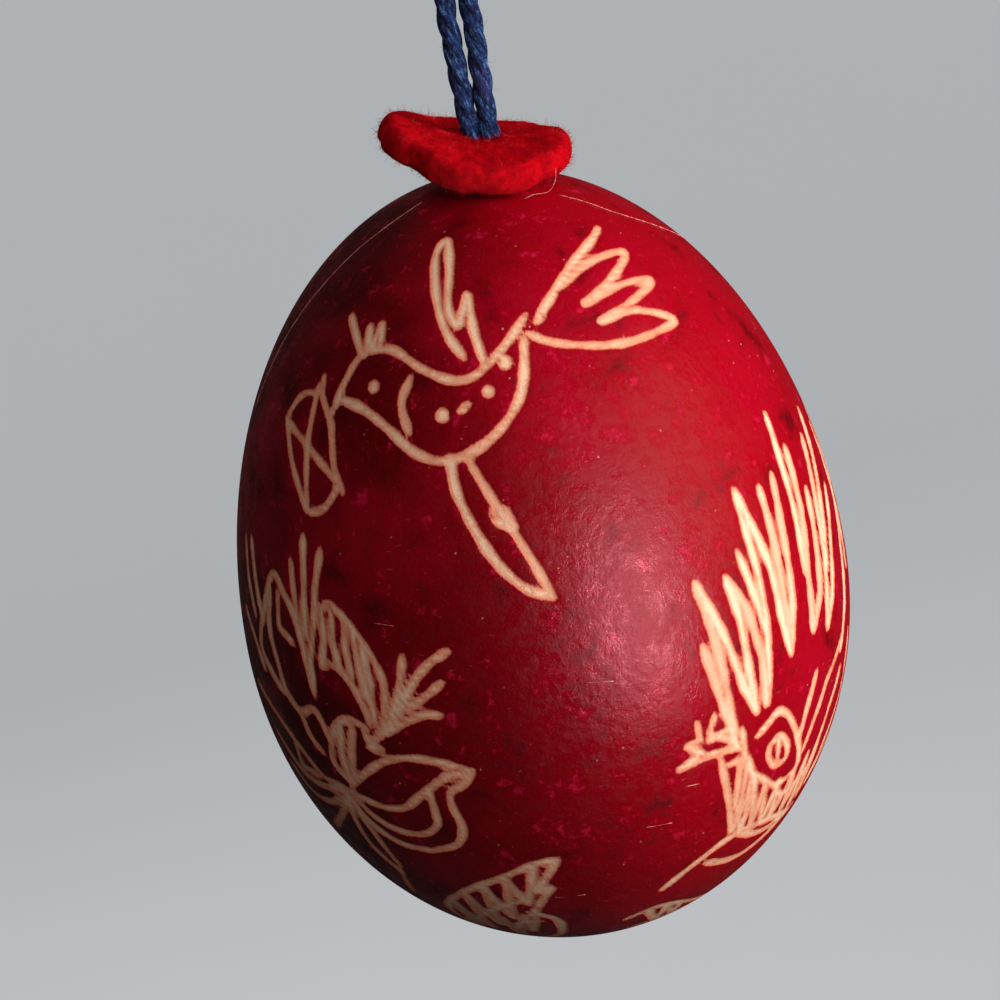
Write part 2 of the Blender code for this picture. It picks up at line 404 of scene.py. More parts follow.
def cotton_material():
    """Dark blue cotton: fine strands along the plies, near black in the grooves between strands and light
    blue on their crests as painted shade and painted highlight, and a lighter purple tint where worn.
    """
    shade = Shade("blue_cotton", 0.8, Specular_IOR_Level=0.2)
    where = shade.place()
    fine = shade.noise(7.0, where, detail=4, roughness=0.75)
    soft = shade.noise(0.5, where, detail=2)
    across = shade.math("MULTIPLY", shade.number("around"), 13.0)
    lengthways = shade.math("MULTIPLY", shade.number("along"), 1.3)
    strand_place = shade.add("CombineXYZ", {0: across, 1: lengthways})
    strand = shade.noise(1.0, strand_place, detail=3, roughness=0.65)
    hair = shade.math("ADD", shade.math("MULTIPLY", strand, 0.7), shade.math("MULTIPLY", fine, 0.3))
    # Painted shade and painted highlight: the colour follows the strands' relief, near black in the grooves
    # and light blue on the crests.
    colour = shade.mix(shade.spread(hair, 0.38, 0.50), rgb(0.001, 0.002, 0.018), rgb(0.006, 0.024, 0.100))
    colour = shade.mix(shade.spread(hair, 0.51, 0.62), colour, rgb(0.058, 0.155, 0.340))
    colour = shade.mix(shade.spread(soft, 0.58, 0.75, 0.0, 0.35), colour, rgb(0.060, 0.040, 0.200))
    normal = shade.bump(hair, 0.0003, 0.9)
    return shade.finish(colour, shade.spread(fine, 0.2, 0.8, 0.7, 0.95), normal)


def fibre(rng, start, direction, length, curl, radius, segments=5):
    """Points of one loose fibre, as a thin three-sided tube."""
    direction = direction.normalized()
    sideways = direction.orthogonal().normalized()
    sideways.rotate(Matrix.Rotation(rng.uniform(0, 2 * math.pi), 3, direction))
    binormal = direction.cross(sideways)
    points, faces = [], []
    here = Vector(start)
    for k in range(segments + 1):
        t = k / segments
        heading = direction + sideways * curl * t * 2 + binormal * curl * 0.6 * math.sin(3 * t)
        if k:
            here = here + heading.normalized() * length / segments
        r = radius * (1 - 0.6 * t)
        for n in range(3):
            a = 2 * math.pi * n / 3
            points.append(here + r * (math.cos(a) * sideways + math.sin(a) * binormal))
    for k in range(segments):
        for n in range(3):
            a, b = k * 3 + n, k * 3 + (n + 1) % 3
            faces.append((a, b, b + 3, a + 3))
    faces.append((2, 1, 0))
    faces.append((segments * 3, segments * 3 + 1, segments * 3 + 2))
    return points, faces


def join_parts(parts):
    points, faces = [], []
    for more_points, more_faces in parts:
        base = len(points)
        points += more_points
        faces += [tuple(base + n for n in face) for face in more_faces]
    return points, faces


def make_cord(cotton):
    rng = random.Random(SEED)
    path = evenly([pinch(p) for p in cord_route()], 0.00016)
    points, faces, around, along = twisted_tube(path, CORD_RADIUS, CORD_TWIST, Vector((0, 1, 0)))
    fibres = []
    for _ in range(CORD_FIBRES):
        k = rng.randrange(20, len(path) - 20)
        tangent = (path[k + 1] - path[k]).normalized()
        out = tangent.orthogonal().normalized()
        out.rotate(Matrix.Rotation(rng.uniform(0, 2 * math.pi), 3, tangent))
        start = path[k] + out * CORD_RADIUS * 0.85
        heading = out * rng.uniform(0.2, 0.9) + tangent * rng.uniform(-1, 1)
        length, curl = rng.uniform(0.0003, 0.0009), rng.uniform(0.3, 1.2)
        fibres.append(fibre(rng, start, heading, length, curl, CORD_FIBRE_RADIUS))
        around += [rng.uniform(0, 1)] * len(fibres[-1][0])
        along += [rng.uniform(0, 50)] * len(fibres[-1][0])
    points, faces = join_parts([(points, faces)] + fibres)
    cord = add_mesh("hanging_cord", points, faces, cotton)
    set_attribute(cord, "around", around)
    set_attribute(cord, "along", along)
    length = sum((b - a).length for a, b in zip(path, path[1:]))
    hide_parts("cord_loop_crown", "cord_leg_left", "cord_leg_right")
    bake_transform(cord)


def make_knot(cotton):
    """Two turns of the cord round the toggle."""
    turns, steps = 2.0, 70
    radius = KNOT_INNER_RADIUS + CORD_RADIUS
    path = []
    for k in range(steps + 1):
        t = k / steps
        a = 2 * math.pi * turns * t
        path.append(Vector(((t - 0.5) * 0.0016, radius * math.sin(a), TOGGLE_Z + radius * math.cos(a))))
    path = evenly(path, 0.0003)
    points, faces, around, along = twisted_tube(path, CORD_RADIUS, CORD_TWIST, Vector((1, 0, 0)), sides=12)
    knot = add_mesh("tied_turns", points, faces, cotton)
    set_attribute(knot, "around", around)
    set_attribute(knot, "along", along)
    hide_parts("cord_knot")
    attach(knot, "cord")


# ---------------------------------------------------------------- felt


def felt_material(name, fuzz=False):
    """Matted red wool: cloudy tone and short crossing fibres. The loose fibres are painted paler pink in
    patches, as a painted sheen of lit fuzz.
    """
    shade = Shade(name, 0.95, Specular_IOR_Level=0.10)
    where = shade.place()
    cloud = shade.noise(0.8, where, detail=4, roughness=0.65)
    fine = shade.noise(5.0, where, detail=5, roughness=0.75, distortion=1.5)
    low, high = rgb(0.38, 0.0, 0.005), rgb(0.62, 0.001, 0.008)
    colour = shade.mix(shade.spread(cloud, 0.36, 0.64), low, high)
    colour = shade.mix(shade.spread(fine, 0.56, 0.78, 0.0, 0.7), colour, rgb(0.90, 0.004, 0.008))
    colour = shade.mix(shade.spread(fine, 0.44, 0.30, 0.0, 0.7), colour, rgb(0.27, 0.0, 0.004))
    colour = shade.mix(shade.spread(fine, 0.62, 0.70, 0.0, 0.5), colour, rgb(0.95, 0.06, 0.06))
    # Painted sheen: pale pink patches on the loose fibres.
    if fuzz:
        colour = shade.mix(shade.spread(cloud, 0.56, 0.70, 0.0, 0.6), colour, rgb(0.95, 0.20, 0.18))
    return shade.finish(colour, None, shade.bump(fine, 0.00025, 0.7))


# The scissors' straight cuts: the direction each one faces (radians from +X) and how far out it is.
FELT_CUTS = (
    (math.pi, 0.935),
    (-2.42, 0.955),
    (-1.62, 0.99),
    (-0.75, 0.98),
    (0.10, 0.985),
    (1.2, 0.97),
    (2.3, 0.97),
)


def felt_outline(angle):
    """How far out the hand-cut edge is, as a share of the disc's radius."""
    reach = 1.0
    for facing, cut in FELT_CUTS:
        turn = math.cos(angle - facing)
        if turn > 0.3:
            reach = min(reach, cut / turn)
    return reach + 0.008 * math.sin(9 * angle) + 0.006 * math.sin(17 * angle + 1)


def felt_skin_point(x, y, across, side):
    """A point of the bent felt: tilted, curled up at both sides, and hanging at the front."""
    curl = FELT_CURL_LEFT if x < 0 else FELT_CURL_RIGHT
    hang = FELT_HANG if y < 0 else 0.0
    height = FELT_TILT * x + curl * x * x - hang * y * y
    slope_x = FELT_TILT + 2 * curl * x
    slope_y = -2 * hang * y
    normal = Vector((-across * slope_x, -across * slope_y, 1.0)).normalized()
    return Vector((x, y, FELT_Z + height)) + side * FELT_THICKNESS / 2 * normal


def felt_point(across, side, angle):
    """The same point on the hand-cut and slightly lumpy sheet."""
    hole = FELT_HOLE_RADIUS * FELT_HOLE_SHARE
    r = hole + across * (FELT_RADIUS * FELT_CUT_SHARE * felt_outline(angle) - hole)
    x = min(1.0, across) * FELT_CENTRE_X + r * math.cos(angle)
    point = felt_skin_point(x, r * math.sin(angle), min(1.0, across), side)
    rim = min(1.0, across) ** 4
    out = Vector((math.cos(angle) * rim, math.sin(angle) * rim, side))
    coarse = noise.fractal(point * 420, 0.9, 2.1, 3)
    fine = noise.fractal(point * 2300, 0.7, 2.1, 2)
    return point + out * (coarse * 0.00012 + fine * 0.00004)


def thin_tube(path, radius):
    """A four-sided thread along a path, with closed ends."""
    points, faces = [], []
    for k, here in enumerate(path):
        tangent = (path[min(k + 1, len(path) - 1)] - path[max(k - 1, 0)]).normalized()
        side = tangent.cross(Vector((0.3, 0.2, 1))).normalized()
        other = tangent.cross(side)
        for n in range(4):
            a = math.pi * n / 2
            points.append(here + radius * (math.cos(a) * side + math.sin(a) * other))
    for k in range(len(path) - 1):
        for n in range(4):
            a, b = k * 4 + n, k * 4 + (n + 1) % 4
            faces.append((a, b, b + 4, a + 4))
    faces.append((3, 2, 1, 0))
    faces.append(tuple(len(points) - 4 + n for n in range(4)))
    return points, faces


def pale_material(name, dark, light, roughness):
    """A thread or a burr whose tone and roughness drift along it."""
    shade = Shade(name, roughness)
    tone = shade.noise(3.0, shade.place(), detail=2)
    colour = shade.mix(shade.spread(tone, 0.35, 0.65), dark, light)
    return shade.finish(colour, shade.spread(tone, 0.3, 0.7, roughness - 0.1, roughness + 0.1))


def make_loose_hair():
    """One pale fibre that hangs from the felt's front edge and curls over the shell."""
    route = [Vector(p) * MM for p in LOOSE_HAIR_MM]
    path = evenly(smooth_curve(route, 12), 0.0001)
    points, faces = thin_tube(path, LOOSE_HAIR_RADIUS)
    pale = pale_material("pale_fibre", rgb(0.60, 0.22, 0.18), rgb(0.80, 0.50, 0.42), 0.6)
    hair = add_mesh("felt_loose_hair", points, faces, pale)
    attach(hair, "felt")
    return hair


def make_felt():
    """The washer as one closed sheet, with short loose fibres all over it and one long one."""
    rng = random.Random(SEED + 1)
    wool = felt_material("red_felt")
    loose = felt_material("felt_fibres", fuzz=True)
    segments, radial, edge = 300, 22, 16
    flat_share, round_share = 0.90, 0.15
    section = [(flat_share * k / radial, -1.0) for k in range(radial + 1)]
    for k in range(1, edge + 1):
        a = math.radians(-90 + 180 * k / (edge + 1))
        rounded = math.copysign(abs(math.sin(a)) ** 0.9, math.sin(a))
        section.append((flat_share + round_share * math.cos(a) ** 0.7, rounded))
    section += [(flat_share * k / radial, 1.0) for k in range(radial, -1, -1)]
    points, faces = [], []
    for across, side in section:
        for n in range(segments):
            points.append(felt_point(across, side, 2 * math.pi * n / segments))
    count = len(section)
    for k in range(count):
        nxt = (k + 1) % count
        for n in range(segments):
            m = (n + 1) % segments
            faces.append((k * segments + n, k * segments + m, nxt * segments + m, nxt * segments + n))
    felt = add_mesh("felt_disc", points, faces, wool)
    if mesh_volume(felt.data) < 0:
        felt.data.flip_normals()
    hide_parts("felt_washer")
    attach(felt, "felt")

    parts = []
    for _ in range(FELT_FIBRES):
        k = rng.randrange(len(points))
        across, side = section[k // segments]
        a = 2 * math.pi * (k % segments) / segments
        edge_on = min(1.0, max(0.0, (across - 0.8) * 5))
        out = Vector((math.cos(a) * edge_on, math.sin(a) * edge_on, side * (1.1 - edge_on)))
        out += Vector([rng.uniform(-0.8, 0.8) for _ in range(3)])
        start = points[k] - out.normalized() * 0.00004
        length, curl = rng.uniform(0.00025, 0.00075), rng.uniform(0.5, 2.5)
        parts.append(fibre(rng, start, out, length, curl, FELT_FIBRE_RADIUS, 3))
    fuzz_points, fuzz_faces = join_parts(parts)
    fuzz = add_mesh("felt_fuzz", fuzz_points, fuzz_faces, loose)
    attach(fuzz, "felt")
    hair = make_loose_hair()


def mesh_volume(mesh):
    mesh.calc_loop_triangles()
    total = 0.0
    for triangle in mesh.loop_triangles:
        a, b, c = (mesh.vertices[n].co for n in triangle.vertices)
        total += a.dot(b.cross(c)) / 6
    return total


# ---------------------------------------------------------------- the drawing on the shell

# The shell's strokes: a bird, a crossed leaf, a leafy spray, petals, a spiky fan over a ring, and leaves.
# They follow the photographed drawing closely: most were read off the photograph by eye, turned into azimuth
# and height with a helper script, and then edited by hand. The bird keeps its eye. The spray and the fan were
# two figures' heads: the spray has no face, and a small ring stands in for the features on the fan's.
# Each motif is a list of strokes, and a stroke is a list of (azimuth, height) points. "curve" strokes are
# smoothed and "line" strokes keep their corners.

BIRD = [
    ("curve", [
        (-45, 44.6), (-43, 46.4), (-39, 48.0), (-30, 48.2), (-21, 46.9), (-13, 46.0), (-7, 46.2),
        (0, 47.5), (8, 49.2),
    ]),
    ("curve", [
        (-43, 45.2), (-36, 44.6), (-29, 43.3), (-22, 41.6), (-15, 41.0), (-6, 42.0), (2, 44.4),
        (6, 47.9),
    ]),
    ("line", [(-39, 47.8), (-43, 49), (-48, 50.2)]),
    ("line", [(-38, 48), (-39, 49.6), (-36.6, 48.4), (-35, 49.7), (-34, 48.4)]),
    ("curve", [(-24, 46.4), (-26, 44.9), (-24, 43.0)]),
    ("line", [(-44, 45.0), (-46, 44.2), (-43, 45.4)]),
    ("dot", [(-34, 46.0)]),
    ("dot", [(-16, 43.9)]),
    ("line", [(-12, 44.0), (-10, 44.4)]),
    ("dot", [(-5, 45.0)]),
    ("dot", [(0, 46.6)]),
    ("curve", [
        (-10, 47.3), (-15, 49.2), (-19, 52.0), (-20, 53.6), (-16, 54.1), (-14, 52.6), (-14, 50.4),
        (-11, 49.3), (-8, 51.0), (-7, 49.0), (-5, 46.7),
    ]),
    ("line", [(-10, 49.6), (-8, 50.8)]),
    ("curve", [(10, 48.6), (15, 49.6), (28, 51.4), (50, 52.8)]),
    ("line", [(10, 48.6), (13, 48.9)]),
    ("curve", [
        (19, 50.2), (34, 51.2), (50, 51.1), (40, 50.1), (25, 49.0), (38, 49.4), (50, 49.0),
        (40, 48.3), (27, 47.7), (38, 47.7), (48, 46.3), (40, 46.0), (28, 46.1), (14, 47.1),
        (7, 48.1),
    ]),
    ("curve", [(-15, 41.2), (-14, 38.6), (-9, 34.4), (-4, 32.0), (1, 31.0)]),
    ("curve", [(-11, 40.8), (-6, 37.2), (-2, 34.0), (1, 31.0)]),
    ("line", [(-8, 37.2), (-5, 37.3), (-4, 36.0), (-7, 36.6), (-5, 36.4)]),
]

VEINED_LEAF = [
    ("line", [(-51, 46.6), (-50, 45.4), (-45, 43.6), (-43, 41.0), (-40, 39.2)]),
    ("curve", [(-52, 45.6), (-58, 45.2), (-62, 43.8)]),
    ("line", [(-62, 43.8), (-57, 41.2), (-50, 37.8)]),
    ("curve", [(-50, 37.8), (-45, 38.2), (-41, 39.8)]),
    ("line", [(-62, 43.6), (-52, 42.2), (-41, 39.8)]),
    ("line", [(-52, 46.0), (-52, 42.2), (-50, 38.0)]),
]


FAN = [
    ("line", [(27, 25), (30, 20), (32, 18), (30, 24.5), (28, 29.5)]),
    ("line", [(28, 29.5), (32, 25), (35, 21), (38, 18.8), (36.5, 22), (36, 26), (34.6, 29.2)]),
    ("line", [(34.6, 29.2), (38, 26.5), (40, 22.5), (40.4, 19)]),
    ("line", [(38.6, 30.6), (40, 28), (42, 24), (41, 19)]),
    ("line", [(42, 34.6), (42, 31.5), (42.4, 28.5), (42, 23)]),
    ("line", [(42, 34.6), (44, 31.6), (46, 28.6), (46.4, 25), (48, 21.8)]),
    ("line", [(48.8, 34), (48.6, 30), (48, 26), (48, 21.8), (50.6, 26), (52, 31), (53.8, 34.4)]),
    ("line", [(60, 38.2), (58.4, 35), (57.4, 31), (56, 27)]),
    ("line", [(62, 35.4), (60, 31), (57, 27), (56, 22.6)]),
    ("line", [(64.6, 32), (62.4, 28), (60.6, 25), (56.4, 22.6)]),
    ("line", [(78, 36.6), (75, 34), (70, 30.6), (65, 26)]),
    ("line", [(72, 35.2), (68, 31.6), (65, 27), (62, 22)]),
    ("line", [(76, 31), (70, 27.5), (66, 24), (62.4, 22)]),
    ("line", [(83, 30), (77, 26.4), (74, 22.5), (70, 19.4)]),
    ("line", [(84, 35), (82, 30), (80, 24.6), (85, 31), (88, 36), (87, 26), (91, 33.4), (92, 23)]),
    ("line", [(57, 19.4), (54, 17), (52, 14.6)]),
    ("line", [(71, 20.4), (62, 18), (58, 15.6), (55, 13.4)]),
    ("line", [(71, 18), (66, 15.6), (63, 13), (61, 10.6)]),
    ("line", [(78, 20), (76, 16), (70, 12.6), (66, 10), (76, 13), (84, 18), (80, 12), (92, 19.4)]),
    ("line", [(24, 19.6), (24.4, 18.2), (21.6, 18), (24.6, 17.2), (19.6, 16.4), (27, 16.8), (34, 16.6)]),
    ("line", [(28, 19.8), (26.4, 18.4), (30.6, 17.6), (34, 16.4)]),
    ("line", [(26, 17.8), (31, 18.4), (33, 17)]),
    ("line", [(29, 16.2), (32, 12.6), (35.6, 9.4)]),
    ("line", [(34, 18), (36, 14.4), (35.8, 9.6), (38.6, 14)]),
    ("line", [
        (30, 15.4), (34, 15.6), (34.4, 12), (38.6, 9.2), (39, 13.4), (42, 9.2), (43, 12.6),
        (46, 9),
    ]),
    ("line", [
        (46, 9), (48, 12.2), (50, 9), (54, 12.4), (55, 8.8), (59, 13), (59.6, 8.8), (64, 13),
        (63, 9.4),
    ]),
    ("line", [(47, 11.4), (52, 10.6), (58, 11), (64, 12)]),
    ("curve", [
        (38, 16.8), (41, 17.4), (44, 18), (47, 17.4), (50, 16), (53.4, 14), (54.4, 12.6), (51, 12),
    ]),
    ("curve", [(51, 12), (46.6, 12), (42, 13), (38, 14), (36, 15.6)]),
    ("curve", [(42, 15.6), (45, 16), (48, 15), (48.4, 13.9), (45, 13.7), (42.4, 14.6), (42, 15.6)]),
    ("line", [(45, 15.8), (45.4, 14)]),
    ("curve", [(18, 6), (26, 7.6), (36, 9), (47, 9), (60, 8.4)]),
    ("curve", [(38, 9), (46, 8.2), (54, 8), (62, 8.4)]),
    ("curve", [(30, 7.4), (37, 6.8), (45, 6.6), (54, 7.2), (64, 8.6)]),
]

SPRAY = [
    ("line", [(-46, 35.4), (-48, 32.5), (-49, 30)]),
    ("line", [(-51, 36.2), (-51, 33), (-52, 29)]),
    ("line", [(-55, 34.4), (-54, 31), (-53, 28), (-52, 24.6)]),
    ("line", [(-72, 35), (-70, 32.5), (-68, 30)]),
    ("line", [(-76, 35), (-74, 32), (-71, 29.5)]),
    ("curve", [(-68, 29), (-64, 32), (-61, 33.2), (-58, 32), (-55, 30.6), (-53, 28)]),
    ("curve", [(-63, 32), (-64.6, 29), (-63, 26.5), (-62, 24.4)]),
    ("line", [(-60, 32), (-60.6, 29.4), (-56, 28.4)]),
    ("curve", [(-67, 30), (-70, 27.5), (-67, 25.8), (-63, 24.4)]),
    ("curve", [(-78, 29.6), (-74, 28), (-70, 25.6)]),
    ("curve", [(-62, 24.6), (-58, 23.2), (-53, 23.6), (-50.6, 21.2)]),
    ("curve", [(-58, 23.2), (-57, 21.4), (-54.6, 20.2)]),
    ("line", [(-49, 30.2), (-51.4, 27.4), (-52, 24.8)]),
    ("curve", [
        (-48.6, 30.8), (-45, 31.6), (-42, 31), (-38.4, 29.6), (-35.4, 27.8), (-34, 26), (-35, 24),
        (-37, 22),
    ]),
    ("curve", [(-48, 27), (-45, 27.2), (-42, 26.2), (-40, 24.8), (-38.8, 22.8)]),
    ("line", [(-46.6, 31), (-46.8, 29), (-48.4, 27)]),
    ("line", [(-44, 31.2), (-44.6, 29), (-43.6, 27)]),
    ("line", [(-41, 31), (-41.6, 28.6), (-41, 26.4)]),
    ("line", [(-39.4, 30), (-39, 27.6), (-38.6, 24.8)]),
    ("line", [(-37.6, 28.8), (-37, 26), (-38, 23)]),
    ("curve", [(-41, 21.2), (-35, 22.8), (-31.6, 23.8)]),
    ("curve", [(-34, 23.4), (-31, 25.5), (-29, 28)]),
    ("curve", [(-32, 24), (-28, 26), (-24, 27.4), (-20, 28.2)]),
    ("curve", [(-31, 24), (-26, 25), (-22, 26)]),
    ("curve", [(-38, 22), (-32, 23), (-27, 23.7), (-23.6, 23.6)]),
    ("line", [(-41, 22.5), (-40, 21), (-37.6, 21)]),
    ("curve", [(-48.6, 18), (-52, 19.4), (-50.6, 21.2), (-48, 22.6), (-44, 23.2), (-40, 22.6)]),
    ("line", [(-46.6, 22.8), (-48.6, 20.6), (-49.6, 18)]),
    ("line", [(-43.4, 22.8), (-46, 20.4), (-48.4, 18)]),
]

PETALS = [
    ("curve", [(-50, 17.6), (-44, 19), (-38, 20.1), (-32, 20.4), (-26, 20), (-20, 19.2)]),
    ("curve", [
        (-20, 19.2), (-22.4, 18.2), (-25.6, 17.6), (-26.4, 16.4), (-26, 14.6), (-29, 13.1),
        (-36, 12.5),
    ]),
    ("curve", [(-36, 12.5), (-43, 12.9), (-48, 14), (-51, 15.6), (-51.4, 17)]),
    ("curve", [
        (-24, 19), (-29.6, 18), (-34, 17), (-37.4, 16.3), (-42.6, 16.2), (-48, 16.8), (-51, 17.2),
    ]),
    ("curve", [
        (-26.6, 18.8), (-30, 17.8), (-30.6, 16), (-31.6, 14.8), (-36, 14), (-42, 14.2),
        (-47, 15.2), (-50.4, 16.8),
    ]),
    ("line", [(-21.4, 19), (-26, 19)]),
    ("curve", [(-52, 17), (-54.6, 14.5), (-55, 12), (-51.6, 9.8)]),
    ("curve", [(-52, 16), (-50.6, 13.5), (-50, 10.6)]),
    ("line", [(-51, 10.4), (-58, 7.4)]),
    ("curve", [(-78, 24), (-69, 22), (-63, 20), (-58, 18), (-52, 17.5)]),
    ("curve", [(-75, 20.6), (-68, 18), (-62, 17.2), (-52, 17.2)]),
    ("curve", [(-52, 17), (-60, 15.8), (-68, 16), (-74, 18)]),
    ("curve", [(-52, 17), (-58, 15), (-68, 13)]),
    ("line", [(-64.4, 21), (-66, 18.4), (-60, 18)]),
]

LEAF = [
    ("curve", [(-8, 11.1), (-14, 10.8), (-22, 9.9), (-34, 8.6), (-44, 7.2), (-50, 5.8), (-54, 3.4)]),
    ("curve", [(-54, 3.4), (-44, 2.0), (-28, 2.0), (-18, 2.9), (-15, 4.8), (-22, 6.0)]),
    ("line", [(-8, 11.1), (-16, 8.2), (-12, 8.4), (-22, 5.6)]),
    ("line", [
        (-14, 10.6), (-20, 7.0), (-22, 9.6), (-28, 5.4), (-29, 9.0), (-36, 4.4), (-36, 8.2),
        (-44, 3.6), (-43, 7.2), (-50, 3.6),
    ]),
    ("curve", [(-20, 7.4), (-30, 6.6), (-42, 5.2), (-50, 4.6)]),
    ("line", [(-18, 6.6), (-28, 3.4), (-24, 5.6), (-38, 2.6), (-32, 5.4)]),
    ("curve", [(-20, 4.8), (-28, 4.6), (-34, 3.6)]),
]

SPRIG = [
    ("curve", [(8, 3.4), (15, 3.9), (22, 4), (36, 3.2), (50, 2.6)]),
    ("curve", [(12, 1.7), (22, 1.8), (34, 2), (50, 2.5)]),
    ("line", [(16, 3.9), (25, 2), (24, 3.8), (33, 2.2), (31, 3.3)]),
]

# Hair-thin scratches on both shoulders, from the felt's edge outward.
HAIRLINES = [
    ("curve", [(-54, 56), (-62, 54.8), (-70, 53), (-80, 48.5), (-86, 43)]),
    ("curve", [(56, 55), (62, 54.2), (68, 53), (82, 51), (97, 49)]),
    ("line", [(-34, 30.4), (-30, 30.2)]),
    ("line", [(4, 24.6), (9, 24.3)]),
    ("line", [(12, 12.4), (18, 12.2)]),
    ("line", [(-12, 7.4), (-4, 7.3)]),
    ("line", [(21, 14.9), (24, 14.8)]),
]


def moved(motif, turn, lift=0.0, flip=False):
    """The same motif at another azimuth and height, mirrored if asked."""
    sign = -1 if flip else 1
    return [(kind, [(sign * a + turn, h + lift) for a, h in points]) for kind, points in motif]


def whole_drawing():
    """Each motif with how broad its strokes are. The back repeats the front's motifs, moved and mirrored."""
    return [
        (BIRD, 1.0),
        (VEINED_LEAF, 0.85),
        (SPRAY, 1.02),
        (PETALS, 1.0),
        (FAN[:15], 1.22),
        (FAN[15:], 1.0),
        (LEAF, 1.1),
        (SPRIG, 1.1),
        (moved(BIRD, 172, -3.0, flip=True), 1.0),
        (moved(PETALS[:6], 188, -1.0), 1.1),
        (moved(PETALS[:6], 176, -1.0, flip=True), 1.1),
        (moved(LEAF, 128, 0.6), 1.1),
        (moved(LEAF, 196, 0.4, flip=True), 1.1),
        (moved(FAN[:9], 68, 1.0), 1.3),
    ]


def on_egg(azimuth, height_mm):
    """The point of the shell's skin at an azimuth and a height over the blunt end."""
    dz = min(max(EGG_BOTTOM_Z + height_mm * MM - EGG_WIDEST_Z, -BLUNT_END_LENGTH), NARROW_END_LENGTH)
    length = NARROW_END_LENGTH if dz > 0 else BLUNT_END_LENGTH
    radius = EGG_RADIUS * math.sqrt(max(0.0, 1 - (dz / length) ** 2))
    a = math.radians(azimuth)
    return Vector((EGG_AXIS_X + radius * math.sin(a), -radius * math.cos(a), EGG_WIDEST_Z + dz))


def drawn_samples():
    """Points along every stroke, each with its half width in mm and how much dye was left in it, 0 to 1."""
    rng = random.Random(SEED + 2)
    samples = []
    strokes = [(kind, stroke, broad) for motif, broad in whole_drawing() for kind, stroke in motif]
    for kind, stroke, broad in strokes:
        left_in = rng.uniform(0.0, 1.0)
        width = LINE_HALF_WIDTH_MM * broad * rng.uniform(0.92, 1.1)
        if kind == "dot":
            samples.append((on_egg(*stroke[0]), width * 1.5, left_in))
            continue
        flat = [Vector((a, h, 0)) for a, h in stroke]
        if kind == "curve":
            flat = smooth_curve(flat, 8)
        line = evenly([on_egg(p.x, p.y) for p in flat], LINE_SAMPLE_MM * MM)
        phases = [rng.uniform(0, 6.28) for _ in range(3)]
        for k, point in enumerate(line):
            run = k * LINE_SAMPLE_MM
            wobble = 0.10 * math.sin(run * 1.1 + phases[0]) + 0.07 * math.sin(run * 2.9 + phases[1])
            tip = min(1.0, 0.72 + 0.28 * min(k, len(line) - 1 - k) * LINE_SAMPLE_MM / 0.5)
            drift = left_in + 0.3 * math.sin(run * 0.35 + phases[2])
            samples.append((point, width * (1 + wobble) * tip, min(1.0, max(0.0, drift))))
    return samples


# ---------------------------------------------------------------- eggshell


